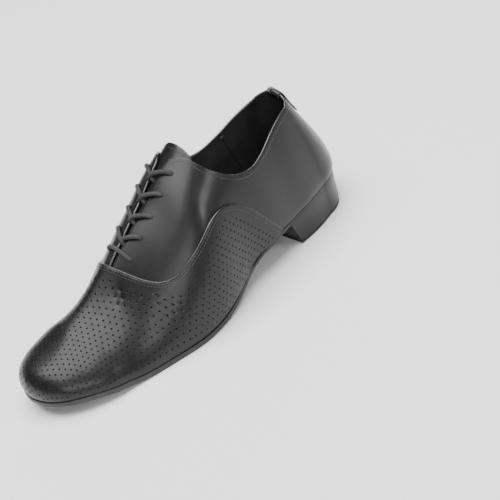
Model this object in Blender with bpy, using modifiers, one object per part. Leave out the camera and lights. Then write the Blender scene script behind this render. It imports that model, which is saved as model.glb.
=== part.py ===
"""Ballroom dance shoe for the left foot: a low black lace-up with a perforated front panel,
a suede sole and a low covered heel. It stands empty on its sole. Sizes are in metres.

The shoe's own frame has x from the back of the heel to the toe, y to the little-toe side and
z up from the floor. A root empty then puts the middle of the whole shoe over the origin.
"""

import math

import bmesh
import bpy
from mathutils import Vector

# Last: the form that the upper is pulled over, measured on the upper's outer face
LAST_LENGTH = 0.2806
HEEL_CENTRE = 0.0280
TOE_CENTRE = 0.2350
HEEL_WIDTH = 0.0584
BALL_WIDTH = 0.0874
HEEL_LIFT = 0.0236
TOE_SPRING = 0.0097
INSTEP_DEPTH = 0.1057
TOE_DEPTH = 0.0346
COLLAR_DEPTH = 0.0700
WALL_BULGE = 0.0040
HEEL_LEAN = 0.0270
RIDGE_OFFSET = 0.0050
# Shares of the length over which the heel widens to the ball and the instep drops to the toe
WIDENING = (0.20, 0.55)
INSTEP_FALL = (0.45, 0.85)
# The walls bulge most a quarter of the way up
BULGE_POWER = 0.55

# Leather and soles
UPPER_WALL = 0.0020
VAMP_WALL = 0.0011
STRIP_WALL = 0.0008
TONGUE_WALL = 0.0016
INSOLE_WALL = 0.0024
SOLE_WALL = 0.0036
WAIST_WALL = 0.0026
SOLE_EDGE = 0.0029
WAIST_EDGE = 0.0003
WAIST_FRONT = 0.0800
BALL_BACK = 0.1500
GAP = 0.0003
CURVED_GAP = 0.0006

# Heel
BREAST_TOP = 0.0700
BREAST_FOOT = 0.0630
HEEL_TAPER = 0.0028
TIP_WALL = 0.0026
TIP_INSET = 0.0008

# Throat, eyelets and laces
THROAT_END = 0.1975
THROAT_LOW_GAP = 0.0028
THROAT_TOP_GAP = 0.0088
THROAT_LOW_SIDE = 0.0045
THROAT_TOP_SIDE = 0.0012
EYELET_LOW = 0.1835
EYELET_TOP = 0.1305
EYELET_ROWS = 5
EYELET_BACK = 0.0098
EYELET_HOLE = 0.0034
LACE_THICK = 0.0025
LACE_DROP = 0.0065
LACE_PAST = 0.0030

# Tongue and back strip
TONGUE_HALF = 0.0225
TONGUE_ROUND = 0.12
TONGUE_NARROWS = 0.30
TONGUE_TOP = 0.1150
TONGUE_END = 0.2060
STRIP_WIDTH = 0.0170
STRIP_NARROWS = 0.45
STRIP_LENGTH = 0.0220
STRIP_TURN = 0.0050

LATERAL, MEDIAL = 1, -1


def table(names, *rows):
    """Rows of a short table, as one list for each named column."""
    return {name: [row[i] for row in rows] for i, name in enumerate(names.split())}


# Ribs run from the crest of the last down to its edge. t is 0 at the back of the heel, 1 at
# the side of the heel's centre, 2 at the side of the toe's centre and 3 at the toe's tip.
# Widths are shares of the half width, the others of the bulge and the lean. box squares a rib.
RIBS = table(
    "t lateral medial bulge box lean",
    (0.00, 1.00, 1.00, 1.25, 2.55, 1.25),
    (0.33, 0.89, 0.97, 1.20, 2.50, 1.13),
    (0.67, 0.90, 1.00, 1.08, 2.52, 0.86),
    (1.00, 0.97, 1.04, 0.90, 2.58, 0.58),
    (1.12, 1.11, 1.00, 0.76, 2.47, 0.40),
    (1.25, 1.12, 0.81, 0.95, 2.33, 0.02),
    (1.40, 0.93, 0.63, 1.22, 2.20, -0.32),
    (1.55, 1.03, 0.70, 1.05, 2.03, -0.50),
    (1.70, 1.155, 0.865, 0.64, 1.68, -0.35),
    (1.85, 1.09, 0.93, 0.43, 1.42, -0.16),
    (2.00, 1.00, 0.89, 0.25, 1.57, -0.02),
    (2.33, 0.965, 0.93, 0.28, 1.80, 0.00),
    (2.67, 1.01, 0.97, 0.38, 2.25, 0.00),
    (3.00, 1.00, 1.00, 0.45, 2.58, 0.00),
)
# Along the length: depth of the last over its edge, and how far heel and toe lift that edge
PROFILE = table(
    "x rise heel_lift toe_lift",
    (0.00, 0.940, 1.000, 0.00),
    (0.10, 0.905, 0.970, 0.00),
    (0.20, 0.930, 0.903, 0.00),
    (0.30, 0.970, 0.775, 0.00),
    (0.38, 0.958, 0.560, 0.00),
    (0.46, 0.903, 0.260, 0.00),
    (0.54, 0.883, 0.055, 0.00),
    (0.62, 0.932, 0.000, 0.00),
    (0.70, 1.020, 0.000, 0.00),
    (0.78, 1.075, 0.000, 0.06),
    (0.84, 1.015, 0.000, 0.35),
    (0.90, 0.810, 0.000, 0.66),
    (0.96, 0.750, 0.000, 0.90),
    (1.00, 0.830, 0.000, 1.00),
)
# The crest's run from side to side, as a share of its offset
RIDGE = table(
    "x y",
    (0.00, -1.55),
    (0.11, -0.36),
    (0.35, -0.06),
    (0.60, -0.16),
    (0.83, -0.95),
    (1.00, -1.37),
)
# Collar's edge over the feather line, as shares of the collar's depth
COLLAR = table(
    "t lateral medial",
    (0.00, 1.000, 1.000),
    (0.50, 0.930, 0.935),
    (1.00, 0.895, 0.905),
    (1.10, 0.868, 0.880),
    (1.20, 0.792, 0.815),
    (1.28, 0.795, 0.806),
    (1.33, 0.860, 0.878),
)
# Ahead of it the edge climbs to the facings: distance from the crest as a share of the half
# width, then as a share of the facing edge's distance
CLIMB = table(
    "t lateral medial gap",
    (1.28, 1.060, 0.780, 0.0),
    (1.33, 1.020, 0.755, 0.0),
    (1.37, 0.910, 0.680, 0.0),
    (1.41, 0.745, 0.550, 0.0),
    (1.44, 0.400, 0.360, 0.0),
    (1.46, 0.190, 0.190, 0.4),
    (1.475, 0.060, 0.060, 0.9),
    (1.488, 0.012, 0.012, 1.0),
    (1.50, 0.000, 0.000, 1.0),
)
# Upper edge of the perforated front panel, w being 0 at the crest and 1 at the last's edge
SEAM = table(
    "t w",
    (1.244, 1.000),
    (1.275, 0.942),
    (1.312, 0.858),
    (1.350, 0.767),
    (1.394, 0.683),
    (1.450, 0.608),
    (1.506, 0.572),
    (1.562, 0.564),
    (1.631, 0.552),
    (1.694, 0.533),
    (1.719, 0.508),
    (1.756, 0.425),
    (1.775, 0.342),
    (1.788, 0.250),
    (1.800, 0.120),
    (1.806, 0.000),
)


def through(xs, ys, x):
    """Height at x of a smooth curve through the rows."""
    if x <= xs[0]:
        return ys[0]
    if x >= xs[-1]:
        return ys[-1]
    step = [b - a for a, b in zip(xs, xs[1:])]
    rate = [(b - a) / s for a, b, s in zip(ys, ys[1:], step)]
    slope = [rate[0]]
    for i in range(1, len(rate)):
        slope.append((rate[i - 1] * step[i] + rate[i] * step[i - 1]) / (step[i - 1] + step[i]))
    slope.append(rate[-1])
    i = 0
    while x > xs[i + 1]:
        i += 1
    u = (x - xs[i]) / step[i]
    v = 1 - u
    return (
        ys[i] * v * v * (1 + 2 * u)
        + ys[i + 1] * u * u * (3 - 2 * u)
        + step[i] * u * v * (slope[i] * v - slope[i + 1] * u)
    )


def ramp(low, high, x):
    """Soft step from 0 at low to 1 at high."""
    u = min(max((x - low) / (high - low), 0.0), 1.0)
    return u * u * (3 - 2 * u)


def spacing(t):
    """Rough distance along the shoe's side, so that rows of unlike spacing join smoothly."""
    if t < 1:
        return t
    return 4.4 * t - 3.4 if t < 2 else 1.4 * t + 2.6


def rib_value(name, t):
    return through([spacing(v) for v in RIBS["t"]], RIBS[name], spacing(t))


def side_name(side):
    return "lateral" if side > 0 else "medial"


def anchor(t):
    """Point on the crest, seen from above, that rib t runs out from."""
    x = HEEL_CENTRE + (TOE_CENTRE - HEEL_CENTRE) * min(max(t - 1, 0.0), 1.0)
    return x, RIDGE_OFFSET * through(RIDGE["x"], RIDGE["y"], x / LAST_LENGTH)


def rib_at(x):
    """The straight rib that stands at x."""
    return 1 + (x - HEEL_CENTRE) / (TOE_CENTRE - HEEL_CENTRE)


def heading(t):
    """Angle of the rib to +X: ribs fan round the heel and the toe and are parallel between."""
    if t < 1:
        return math.pi / 2 * (2 - t)
    return math.pi / 2 if t < 2 else math.pi / 2 * (3 - t)


def half_width(x):
    blend = ramp(*WIDENING, x / LAST_LENGTH)
    return (HEEL_WIDTH * (1 - blend) + BALL_WIDTH * blend) / 2


def reach(t):
    """Length of the fan of ribs ahead of or behind its centre."""
    return HEEL_CENTRE if t < 1.5 else LAST_LENGTH - TOE_CENTRE


def bed(x):
    """Height of the last's edge, with the heel's lift and the toe's spring."""
    share = x / LAST_LENGTH
    heel = HEEL_LIFT * through(PROFILE["x"], PROFILE["heel_lift"], share)
    toe = TOE_SPRING * through(PROFILE["x"], PROFILE["toe_lift"], share)
    return SOLE_WALL + GAP + max(heel, 0.0) + max(toe, 0.0)


def rise(x):
    """Depth of the last from its crest down to its edge."""
    share = x / LAST_LENGTH
    blend = ramp(*INSTEP_FALL, share)
    depth = INSTEP_DEPTH * (1 - blend) + TOE_DEPTH * blend
    return depth * through(PROFILE["x"], PROFILE["rise"], share)


def outline(t, side, out=0.0):
    """The last's edge seen from above, or a line that far outside it."""
    centre_x, centre_y = anchor(t)
    angle = heading(t)
    share = rib_value(side_name(side), t)
    x = centre_x + (reach(t) * share + out) * math.cos(angle)
    y = centre_y + side * (half_width(centre_x) * share + out) * math.sin(angle)
    return x, y


def spread(t, side, w):
    """How far a point of the rib lies from the crest, as a share of the half width, and its
    height as a share of the rise."""
    box = rib_value("box", t)
    across = math.sin(w * math.pi / 2) ** (2 / box)
    up = max(math.cos(w * math.pi / 2), 0.0) ** (2 / box)
    bulge = WALL_BULGE * rib_value("bulge", t) * math.sin(math.pi * up**BULGE_POWER)
    lean = HEEL_LEAN * rib_value("lean", t) * up * across
    share = rib_value(side_name(side), t) * across + (bulge - lean) / half_width(anchor(t)[0])
    return share, up


def last(t, side, w):
    """Point of the upper's outer face: rib t of one side, w from the crest to the edge. A
    negative w is a point past the crest, on the other side."""
    if w < 0:
        side, w = -side, -w
    centre_x, centre_y = anchor(t)
    angle = heading(t)
    share, up = spread(t, side, w)
    x = centre_x + reach(t) * share * math.cos(angle)
    y = centre_y + side * half_width(centre_x) * share * math.sin(angle)
    foot = bed(outline(t, side)[0])
    return Vector((x, y, foot + (bed(x) + rise(x) - foot) * up))


def last_normal(t, side, w):
    """Outward normal of the last's face."""
    if w < 0:
        side, w = -side, -w
    step = 0.01
    if w < step:
        if t >= 2:
            ahead, behind = (bed(x) + rise(x) for x in (TOE_CENTRE + step, TOE_CENTRE - step))
            return Vector((behind - ahead, 0, 2 * step)).normalized()
        w = step
    along = last(min(t + step, 3.0), side, w) - last(max(t - step, 0.0), side, w)
    down = last(t, side, min(w + step, 1.0)) - last(t, side, w - step)
    normal = along.cross(down) * side
    if w <= step or t in (0.0, 3.0):
        normal.y = 0.0
    normal.z = max(normal.z, 0.0)
    return normal.normalized()


def skin(t, side, w, out):
    """Point at a given height over the upper's outer face."""
    return last(t, side, w) + last_normal(t, side, w) * out


def solve(value, target):
    """w at which a value that grows with w reaches its target."""
    low, high = 0.0, 0.98
    for _ in range(30):
        middle = (low + high) / 2
        if value(middle) < target:
            low = middle
        else:
            high = middle
    return low


def w_at_distance(t, side, distance):
    """w at a level distance from the crest, above the widest place of the rib."""
    if distance < 0:
        return -w_at_distance(t, -side, -distance)
    half = half_width(anchor(t)[0])
    return solve(lambda w: spread(t, side, w)[0] * half if w < 0.8 else 1.0, distance)


def w_at_height(t, side, height):
    """w at a height over the last's edge."""
    return solve(lambda w: bed(anchor(t)[0]) - last(t, side, w).z, -height)


def facing_edge(t, side):
    """Distance of a facing's edge from the crest: the throat narrows as it runs forward and
    lies a little to the lateral side."""
    blend = (t - rib_at(EYELET_TOP)) / (rib_at(THROAT_END) - rib_at(EYELET_TOP))
    blend = min(max(blend, 0.0), 1.0)
    middle = THROAT_TOP_SIDE * (1 - blend) + THROAT_LOW_SIDE * blend
    return side * middle + (THROAT_TOP_GAP * (1 - blend) + THROAT_LOW_GAP * blend) / 2


def top_edge(t, side):
    """w of the upper's top edge: collar, climb to the facing, facing, then closed vamp."""
    if anchor(t)[0] > THROAT_END or t > 2:
        return 0.0
    collar = through(COLLAR["t"], COLLAR[side_name(side)], t) * COLLAR_DEPTH
    low = w_at_height(t, side, collar) if t < 1.33 else 0.0
    if t <= 1.28:
        return low
    half = half_width(anchor(t)[0])
    distance = through(CLIMB["t"], CLIMB[side_name(side)], t) * half
    distance += through(CLIMB["t"], CLIMB["gap"], t) * facing_edge(t, side)
    high = w_at_distance(t, side, distance)
    blend = ramp(1.28, 1.33, t)
    return low * (1 - blend) + high * blend


def seam_edge(t):
    """w of the front panel's upper edge."""
    return through(SEAM["t"], SEAM["w"], t) if t < SEAM["t"][-1] else 0.0


# Building blocks


def material(name, colour, roughness):
    found = bpy.data.materials.get(name)
    if found:
        return found
    made = bpy.data.materials.new(name)
    made.use_nodes = True
    shader = made.node_tree.nodes["Principled BSDF"]
    shader.inputs["Base Color"].default_value = (*colour, 1.0)
    shader.inputs["Roughness"].default_value = roughness
    return made


def new_object(name, mesh, look, group, root):
    made = bpy.data.objects.new(name, mesh)
    group.objects.link(made)
    made.parent = root
    made.data.materials.append(look)
    return made


def mesh_of(name, shape, outward=None):
    """Mesh from a bmesh, with doubled points welded and faces turned outwards."""
    bmesh.ops.remove_doubles(shape, verts=shape.verts, dist=0.00002)
    bmesh.ops.recalc_face_normals(shape, faces=shape.faces)
    if outward:
        face = max(shape.faces, key=lambda f: f.calc_center_median().dot(outward))
        if face.normal.dot(outward) < 0:
            bmesh.ops.reverse_faces(shape, faces=shape.faces)
    mesh = bpy.data.meshes.new(name)
    shape.to_mesh(mesh)
    shape.free()
    mesh.shade_smooth()
    mesh.set_sharp_from_angle(angle=math.radians(40))
    return mesh


def add_grid(shape, rows):
    """Faces between neighbouring rows of points, each row as long as the next."""
    points = [[shape.verts.new(p) for p in row] for row in rows]
    for low, high in zip(points, points[1:]):
        for i in range(len(low) - 1):
            shape.faces.new((low[i], low[i + 1], high[i + 1], high[i]))


def thicken(made, wall, offset, even=True):
    """Gives an open skin its wall; offset -1 grows it inwards and 1 outwards."""
    shell = made.modifiers.new("wall", "SOLIDIFY")
    shell.thickness = wall
    shell.offset = offset
    shell.use_even_offset = even
    shell.use_quality_normals = True


def shares(count, low=0.0, high=1.0):
    return [low + (high - low) * i / count for i in range(count + 1)]


def plate(name, rows, top, foot, look, group, root):
    """Solid between two lines that run along the shoe: rows pair their points, top gives the
    height of the upper face at x, and foot moves a point of it to the lower face."""
    shape = bmesh.new()
    add_grid(shape, rows)
    bmesh.ops.remove_doubles(shape, verts=shape.verts, dist=0.00002)
    for vertex in shape.verts:
        vertex.co.z = top(vertex.co.x)
    lower = bmesh.ops.extrude_face_region(shape, geom=shape.faces[:])["geom"]
    for vertex in (item for item in lower if isinstance(item, bmesh.types.BMVert)):
        vertex.co = foot(vertex.co)
    return new_object(name, mesh_of(name, shape), look, group, root)


def level_row(left, right, steps):
    """Points across the shoe between two points of its edge."""
    return [Vector((*left, 0)).lerp(Vector((*right, 0)), s) for s in shares(steps)]


def column_ts():
    """Ribs of the upper's mesh, closest where the edge climbs from the collar to the facings
    and where the front panel's seam crosses the throat."""
    throat, seam = rib_at(THROAT_END), SEAM["t"][-1]
    ts = shares(7, 0.0, 1.0)[:-1] + shares(4, 1.0, 1.28)[:-1] + shares(10, 1.28, 1.50)[:-1]
    ts += shares(4, 1.50, seam - 0.12)[:-1] + shares(7, seam - 0.12, seam) + [throat]
    return ts + shares(3, throat + 0.01, 2.0)[:-1] + shares(8, 2.0, 3.0)


def side_rows(ts, side, top, foot, steps, out):
    """A row of points down each rib, from its top edge to its foot."""
    rows = []
    for t in ts:
        high, low = top(t, side), foot(t, side)
        rows.append([skin(t, side, w, out) for w in shares(steps, high, low)])
    return rows


# Pieces


def make_upper(looks, group, cutters, root):
    shape = bmesh.new()
    for side in (LATERAL, MEDIAL):
        add_grid(shape, side_rows(column_ts(), side, top_edge, lambda t, s: 1.0, 12, 0.0))
    made = new_object("upper", mesh_of("upper", shape, Vector((0, 1, 0))), looks["leather"], group, root)
    thicken(made, UPPER_WALL, -1)
    cut = made.modifiers.new("eyelets", "BOOLEAN")
    cut.operation = "DIFFERENCE"
    cut.object = eyelet_cutter(cutters, root)
    return made


def eyelet_x(row):
    return EYELET_LOW + (EYELET_TOP - EYELET_LOW) * row / (EYELET_ROWS - 1)


def eyelet_across(row, side):
    """Signed distance of an eyelet from the crest."""
    return side * (facing_edge(rib_at(eyelet_x(row)), side) + EYELET_BACK)


def over(x, across, out):
    """Point over the instep, that far across from the crest and over the upper's face."""
    side = LATERAL if across >= 0 else MEDIAL
    t = rib_at(x)
    return skin(t, side, w_at_distance(t, side, abs(across)), out)


def eyelet_cutter(cutters, root):
    """One mesh of all the punches that cut the lace holes."""
    shape = bmesh.new()
    for row in range(EYELET_ROWS):
        for side in (LATERAL, MEDIAL):
            across = eyelet_across(row, side)
            low = over(eyelet_x(row), across, -2 * UPPER_WALL)
            high = over(eyelet_x(row), across, 2 * UPPER_WALL)
            turn = (high - low).to_track_quat("Z", "Y").to_matrix().to_4x4()
            turn.translation = (low + high) / 2
            bmesh.ops.create_cone(
                shape,
                cap_ends=True,
                segments=12,
                radius1=EYELET_HOLE / 2,
                radius2=EYELET_HOLE / 2,
                depth=(high - low).length,
                matrix=turn,
            )
    mesh = bpy.data.meshes.new("eyelet_punches")
    shape.to_mesh(mesh)
    shape.free()
    made = bpy.data.objects.new("eyelet_punches", mesh)
    cutters.objects.link(made)
    made.parent = root
    made.hide_render = True
    made.display_type = "WIRE"
    return made


def make_vamp(looks, group, root):
    """Perforated front panel, laid over the upper from its curved seam down to the sole."""
    ts = [SEAM["t"][0] + 0.015] + [t for t in column_ts() if t > SEAM["t"][0] + 0.03]
    shape = bmesh.new()
    for side in (LATERAL, MEDIAL):
        rows = side_rows(ts, side, lambda t, s: seam_edge(t), vamp_foot, 10, CURVED_GAP)
        add_grid(shape, rows)
    made = new_object("vamp", mesh_of("vamp", shape, Vector((0, 1, 0))), looks["leather"], group, root)
    thicken(made, VAMP_WALL, 1)
    return made


def vamp_foot(t, side):
    return w_at_height(t, side, VAMP_WALL / 2 + GAP)


def make_tongue(looks, group, root):
    """Tongue under the facings, its end hidden under the vamp and its top over the collar."""
    shape = bmesh.new()
    rows = []
    for s in shares(12):
        x = TONGUE_TOP + (TONGUE_END - TONGUE_TOP) * s
        narrow = TONGUE_ROUND * (1 - ramp(0.0, 0.1, s)) + TONGUE_NARROWS * ramp(0.3, 1.0, s)
        half = TONGUE_HALF * (1 - narrow)
        rows.append([over(x, half * u, -(UPPER_WALL + CURVED_GAP)) for u in shares(12, -1.0, 1.0)])
    add_grid(shape, rows)
    made = new_object("tongue", mesh_of("tongue", shape, Vector((0, 0, 1))), looks["leather"], group, root)
    thicken(made, TONGUE_WALL, -1)
    return made


def strip_point(u, down):
    """Point of the back strip: u from side to side, down from the collar's edge."""
    side = LATERAL if u >= 0 else MEDIAL
    half = abs(u) * STRIP_WIDTH / 2 * (1 - STRIP_NARROWS * ramp(0.1, 1.0, down / STRIP_LENGTH))
    middle = last(0.0, side, w_at_height(0.0, side, COLLAR_DEPTH - down))
    low, high = 0.0, 1.0
    for _ in range(24):
        t = (low + high) / 2
        height = through(COLLAR["t"], COLLAR[side_name(side)], t) * COLLAR_DEPTH - down
        w = w_at_height(t, side, height)
        if (last(t, side, w) - middle).length < half:
            low = t
        else:
            high = t
    return t, side, w


def make_back_strip(looks, group, root):
    """Short strip down the back, folded over the collar's edge."""
    shape = bmesh.new()
    rows = []
    across = shares(8, -1.0, 1.0)
    for down in shares(6, STRIP_LENGTH, 0.0):
        rows.append([skin(*strip_point(u, down), CURVED_GAP) for u in across])
    for turn in shares(4, 0.0, math.pi)[1:-1]:
        rows.append([fold_point(u, turn) for u in across])
    for down in shares(2, 0.0, STRIP_TURN):
        rows.append([skin(*strip_point(u, down), -(UPPER_WALL + CURVED_GAP)) for u in across])
    add_grid(shape, rows)
    mesh = mesh_of("back_strip", shape, Vector((-1, 0, 0)))
    made = new_object("back_strip", mesh, looks["leather"], group, root)
    thicken(made, STRIP_WALL, 1, False)
    return made


def fold_point(u, turn):
    """Point of the strip's turn over the collar's edge."""
    t, side, w = strip_point(u, 0.0)
    outward = last_normal(t, side, w)
    up = (last(t, side, w - 0.01) - last(t, side, w)).normalized()
    middle = last(t, side, w) - outward * (UPPER_WALL / 2)
    return middle + (outward * math.cos(turn) + up * math.sin(turn)) * (UPPER_WALL / 2 + CURVED_GAP)


def sole_edge(t):
    """How far the sole stands out beyond the last's edge: full in front, close at the waist."""
    return WAIST_EDGE + (SOLE_EDGE - WAIST_EDGE) * ramp(rib_at(WAIST_FRONT), rib_at(BALL_BACK), t)


def sole_wall(x):
    return WAIST_WALL + (SOLE_WALL - WAIST_WALL) * ramp(WAIST_FRONT, BALL_BACK, x)


def make_outsole(looks, group, root):
    """Suede sole from the toe to the heel's breast, flat on the floor under the ball."""
    ts = shares(16, rib_at(BREAST_TOP + GAP), 2.0)[:-1] + shares(10, 2.0, 3.0)
    rows = []
    for t in ts:
        out = sole_edge(t)
        rows.append(level_row(outline(t, LATERAL, out), outline(t, MEDIAL, out), 6))

    def foot(point):
        return Vector((point.x, point.y, point.z - sole_wall(point.x)))

    return plate("outsole", rows, lambda x: bed(x) - GAP, foot, looks["suede"], group, root)


def make_insole(looks, group, root):
    ts = shares(8, 0.0, 1.0)[:-1] + shares(16, 1.0, 2.0)[:-1] + shares(8, 2.0, 3.0)
    inset = -(UPPER_WALL + 3 * GAP)
    rows = [level_row(outline(t, LATERAL, inset), outline(t, MEDIAL, inset), 2) for t in ts]

    def foot(point):
        return Vector((point.x, point.y, point.z - INSOLE_WALL))

    return plate("insole", rows, lambda x: bed(x) + INSOLE_WALL, foot, looks["lining"], group, root)


def heel_rows(inset):
    """Rows across the heel seat, from its breast round to the back."""
    ts = shares(4, rib_at(BREAST_TOP), 1.0)[:-1] + shares(8, 1.0, 0.0)
    return [level_row(outline(t, LATERAL, inset), outline(t, MEDIAL, inset), 4) for t in ts]


def heel_foot(point, height):
    """Point of the heel's foot under one of its seat: the heel tapers and its breast leans."""
    centre_y = anchor(0.0)[1]
    front = (BREAST_FOOT - HEEL_CENTRE) / (BREAST_TOP - HEEL_CENTRE)
    back = 1 - HEEL_TAPER / HEEL_CENTRE
    along = front if point.x > HEEL_CENTRE else back
    across = 1 - HEEL_TAPER / (HEEL_WIDTH / 2)
    x = HEEL_CENTRE + (point.x - HEEL_CENTRE) * along
    return Vector((x, centre_y + (point.y - centre_y) * across, height))


def make_heel(looks, group, root):
    """Covered heel block under the seat, with its thin tip on the floor."""

    def foot(point):
        return heel_foot(point, TIP_WALL + GAP)

    def sink(point):
        return Vector((point.x, point.y, 0.0))

    plate("heel_block", heel_rows(0.0), lambda x: bed(x) - GAP, foot, looks["leather"], group, root)
    rows = [[heel_foot(point, 0.0) for point in row] for row in heel_rows(-TIP_INSET)]
    plate("heel_tip", rows, lambda x: TIP_WALL, sink, looks["rubber"], group, root)


def lace_run(name, points, group, root):
    """Round cord through the points, as a mesh with its caps welded."""
    curve = bpy.data.curves.new(name, "CURVE")
    curve.dimensions = "3D"
    curve.bevel_depth = LACE_THICK / 2
    curve.bevel_resolution = 2
    curve.use_fill_caps = True
    spline = curve.splines.new("POLY")
    spline.points.add(len(points) - 1)
    for place, point in zip(spline.points, points):
        place.co = (*point, 1.0)
    drawn = bpy.data.objects.new(name, curve)
    group.objects.link(drawn)
    seen = drawn.evaluated_get(bpy.context.evaluated_depsgraph_get())
    mesh = bpy.data.meshes.new_from_object(seen)
    bpy.data.objects.remove(drawn)
    shape = bmesh.new()
    shape.from_mesh(mesh)
    bmesh.ops.remove_doubles(shape, verts=shape.verts, dist=0.00001)
    shape.to_mesh(mesh)
    shape.free()
    mesh.materials.clear()
    mesh.shade_smooth()
    mesh.set_sharp_from_angle(angle=math.radians(40))
    return mesh


def lace_arm(row, side):
    """Half a crossing: from its eyelet in over the facing, just past the middle of the throat."""
    ride = LACE_THICK / 2 + CURVED_GAP
    start = eyelet_across(row, side)
    end = (eyelet_across(row, side) + eyelet_across(row, -side)) / 2 - side * LACE_PAST
    points = []
    for s in shares(6):
        points.append(over(eyelet_x(row) + LACE_DROP * s, start * (1 - s) + end * s, ride))
    return points


def make_laces(looks, group, cutters, root):
    """The bar at the lowest eyelets and a joined crossing over each pair above it."""
    ride = LACE_THICK / 2 + CURVED_GAP
    ends = eyelet_across(0, MEDIAL), eyelet_across(0, LATERAL)
    bar = [over(EYELET_LOW, across, ride) for across in shares(8, *ends)]
    new_object("lace_bar", lace_run("lace_bar", bar, group, root), looks["cord"], group, root)
    for row in range(1, EYELET_ROWS):
        name = f"lace_cross_{row + 1}"
        near = lace_run(name, lace_arm(row, LATERAL), group, root)
        made = new_object(name, near, looks["cord"], group, root)
        far = bpy.data.objects.new(name + "_far", lace_run(name, lace_arm(row, MEDIAL), group, root))
        cutters.objects.link(far)
        far.parent = root
        far.hide_render = True
        far.display_type = "WIRE"
        join = made.modifiers.new("join", "BOOLEAN")
        join.operation = "UNION"
        join.object = far


def bounds(objects):
    """Lowest and highest corner of the evaluated objects."""
    graph = bpy.context.evaluated_depsgraph_get()
    corners = []
    for item in objects:
        seen = item.evaluated_get(graph)
        corners += [seen.matrix_world @ vertex.co for vertex in seen.to_mesh().vertices]
        seen.to_mesh_clear()
    low = Vector(min(corner[i] for corner in corners) for i in range(3))
    return low, Vector(max(corner[i] for corner in corners) for i in range(3))


def main():
    for item in list(bpy.data.objects):
        bpy.data.objects.remove(item)
    scene = bpy.context.scene
    group = bpy.data.collections.new("ballroom_shoe")
    cutters = bpy.data.collections.new("cutters")
    scene.collection.children.link(group)
    scene.collection.children.link(cutters)
    root = bpy.data.objects.new("shoe", None)
    group.objects.link(root)
    looks = {
        "leather": material("black_leather", (0.018, 0.018, 0.020), 0.38),
        "lining": material("black_lining", (0.012, 0.012, 0.013), 0.80),
        "suede": material("black_suede", (0.020, 0.020, 0.021), 0.95),
        "rubber": material("black_rubber", (0.015, 0.015, 0.015), 0.60),
        "cord": material("black_cord", (0.030, 0.030, 0.032), 0.80),
    }
    make_upper(looks, group, cutters, root)
    make_vamp(looks, group, root)
    make_tongue(looks, group, root)
    make_back_strip(looks, group, root)
    make_insole(looks, group, root)
    make_outsole(looks, group, root)
    make_heel(looks, group, root)
    make_laces(looks, group, cutters, root)
    bpy.context.view_layer.update()
    low, high = bounds([item for item in group.objects if item.type == "MESH"])
    root.location = (-(low.x + high.x) / 2, -(low.y + high.y) / 2, -low.z)


main()
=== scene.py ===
import functools
import math

import bmesh
import bpy
import numpy as np
from mathutils import Matrix, Vector
from mathutils.bvhtree import BVHTree
from mathutils.geometry import delaunay_2d_cdt


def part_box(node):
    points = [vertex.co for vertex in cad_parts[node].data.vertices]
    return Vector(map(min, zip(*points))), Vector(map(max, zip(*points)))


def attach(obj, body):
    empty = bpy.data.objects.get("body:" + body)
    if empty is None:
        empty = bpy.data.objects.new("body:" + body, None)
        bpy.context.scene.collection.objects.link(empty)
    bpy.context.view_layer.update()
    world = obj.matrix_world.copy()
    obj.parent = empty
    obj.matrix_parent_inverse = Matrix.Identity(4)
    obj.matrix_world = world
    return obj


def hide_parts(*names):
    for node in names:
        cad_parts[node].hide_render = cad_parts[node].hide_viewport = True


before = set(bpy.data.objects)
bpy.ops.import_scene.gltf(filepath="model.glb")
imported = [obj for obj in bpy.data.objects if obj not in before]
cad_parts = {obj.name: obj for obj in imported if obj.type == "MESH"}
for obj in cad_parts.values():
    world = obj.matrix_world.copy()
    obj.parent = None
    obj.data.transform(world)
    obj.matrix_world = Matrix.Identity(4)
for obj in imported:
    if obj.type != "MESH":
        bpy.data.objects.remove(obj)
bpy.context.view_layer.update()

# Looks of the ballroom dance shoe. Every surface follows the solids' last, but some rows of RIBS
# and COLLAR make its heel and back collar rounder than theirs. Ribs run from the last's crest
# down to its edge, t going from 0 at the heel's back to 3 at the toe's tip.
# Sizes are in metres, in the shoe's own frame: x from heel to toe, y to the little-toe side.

# Last
LAST_LENGTH = 0.2806
HEEL_CENTRE = 0.0280
TOE_CENTRE = 0.2350
HEEL_WIDTH = 0.0584
BALL_WIDTH = 0.0874
HEEL_LIFT = 0.0236
TOE_SPRING = 0.0097
INSTEP_DEPTH = 0.1057
TOE_DEPTH = 0.0346
COLLAR_DEPTH = 0.0700
WALL_BULGE = 0.0040
HEEL_LEAN = 0.0270
RIDGE_OFFSET = 0.0050
WIDENING = (0.20, 0.55)
INSTEP_FALL = (0.45, 0.85)
BULGE_POWER = 0.55

# Smoothing of the collar's line
EDGE_EASE = 0.020
EASE_IN = (1.00, 1.08)
EASE_OUT = (1.38, 1.43)
EASING = ((-2, 1), (-1, 4), (0, 6), (1, 4), (2, 1))

# Leather and soles
UPPER_WALL = 0.0020
VAMP_WALL = 0.0011
STRIP_WALL = 0.0008
TONGUE_WALL = 0.0016
SOLE_WALL = 0.0036
WAIST_WALL = 0.0026
SOLE_EDGE = 0.0029
WAIST_EDGE = 0.0003
WAIST_FRONT = 0.0800
BALL_BACK = 0.1500
GAP = 0.0003
CURVED_GAP = 0.0006

# Heel
BREAST_TOP = 0.0700
BREAST_FOOT = 0.0630
HEEL_TAPER = 0.0028
TIP_WALL = 0.0026
TIP_INSET = 0.0008

# Throat, eyelets and laces
THROAT_END = 0.1975
THROAT_LOW_GAP = 0.0028
THROAT_TOP_GAP = 0.0088
THROAT_LOW_SIDE = 0.0045
THROAT_TOP_SIDE = 0.0012
EYELET_LOW = 0.1835
EYELET_TOP = 0.1305
EYELET_ROWS = 5
EYELET_BACK = 0.0098
EYELET_HOLE = 0.0030
LACE_THICK = 0.0030

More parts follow.
